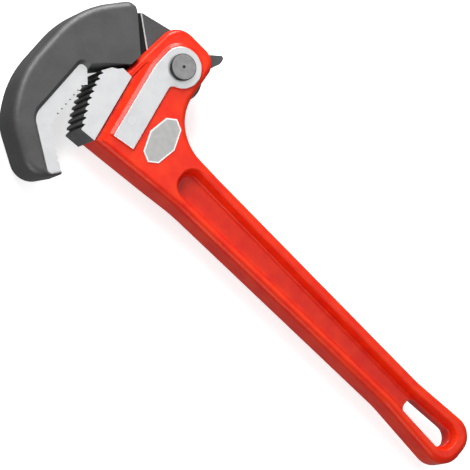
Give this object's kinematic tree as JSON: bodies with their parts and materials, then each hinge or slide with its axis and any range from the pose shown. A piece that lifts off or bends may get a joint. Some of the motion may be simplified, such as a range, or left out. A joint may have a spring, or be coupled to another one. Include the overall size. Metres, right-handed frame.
{
  "type": "pipe wrench",
  "caption": "Self-adjusting pipe wrench: a red cast handle with a forked head, a spring-closed hook jaw on a pivot pin and a toothed heel jaw; turning the handle tightens the grip.",
  "frame": {"origin": "middle of the bounding box's underside; the lowest point is the end of the pivot pin", "axes": "+X from the head towards the hanging end of the handle, +Y towards the wrench's back, away from the jaws, +Z along the pivot pin towards its head"},
  "size_m": [0.3504, 0.1373, 0.0331],
  "materials": {
    "handle_paint": "gloss red enamel on the casting, with ground bare pads on the cheeks",
    "hook_steel": "dark satin forging",
    "jaw_steel": "ground steel, brushed",
    "pin_steel": "turned steel",
    "spring_steel": "oiled spring wire",
    "label_foil": "satin foil label, blank"
  },
  "bodies": {
    "handle": {"handle": "handle_paint", "heel_jaw": "jaw_steel", "heel_jaw_pin": "pin_steel", "pivot_pin": "pin_steel", "pivot_washer": "pin_steel", "pivot_retaining_ring": "spring_steel", "jaw_return_spring": "spring_steel", "label": "label_foil"},
    "hook_jaw": {"hook_jaw": "hook_steel", "hook_jaw_insert": "jaw_steel"}
  },
  "joints": [
    {"name": "hook_jaw_pivot", "type": "hinge", "parent": "handle", "child": "hook_jaw", "pos_m": [-0.10575, 0.04278, 0.0172], "axis": [0, 0, -1], "range_deg": [0, 62], "stiffness_Nm_per_rad": 0.12, "springref_deg": -68.75, "deforming": ["jaw_return_spring"]}
  ]
}
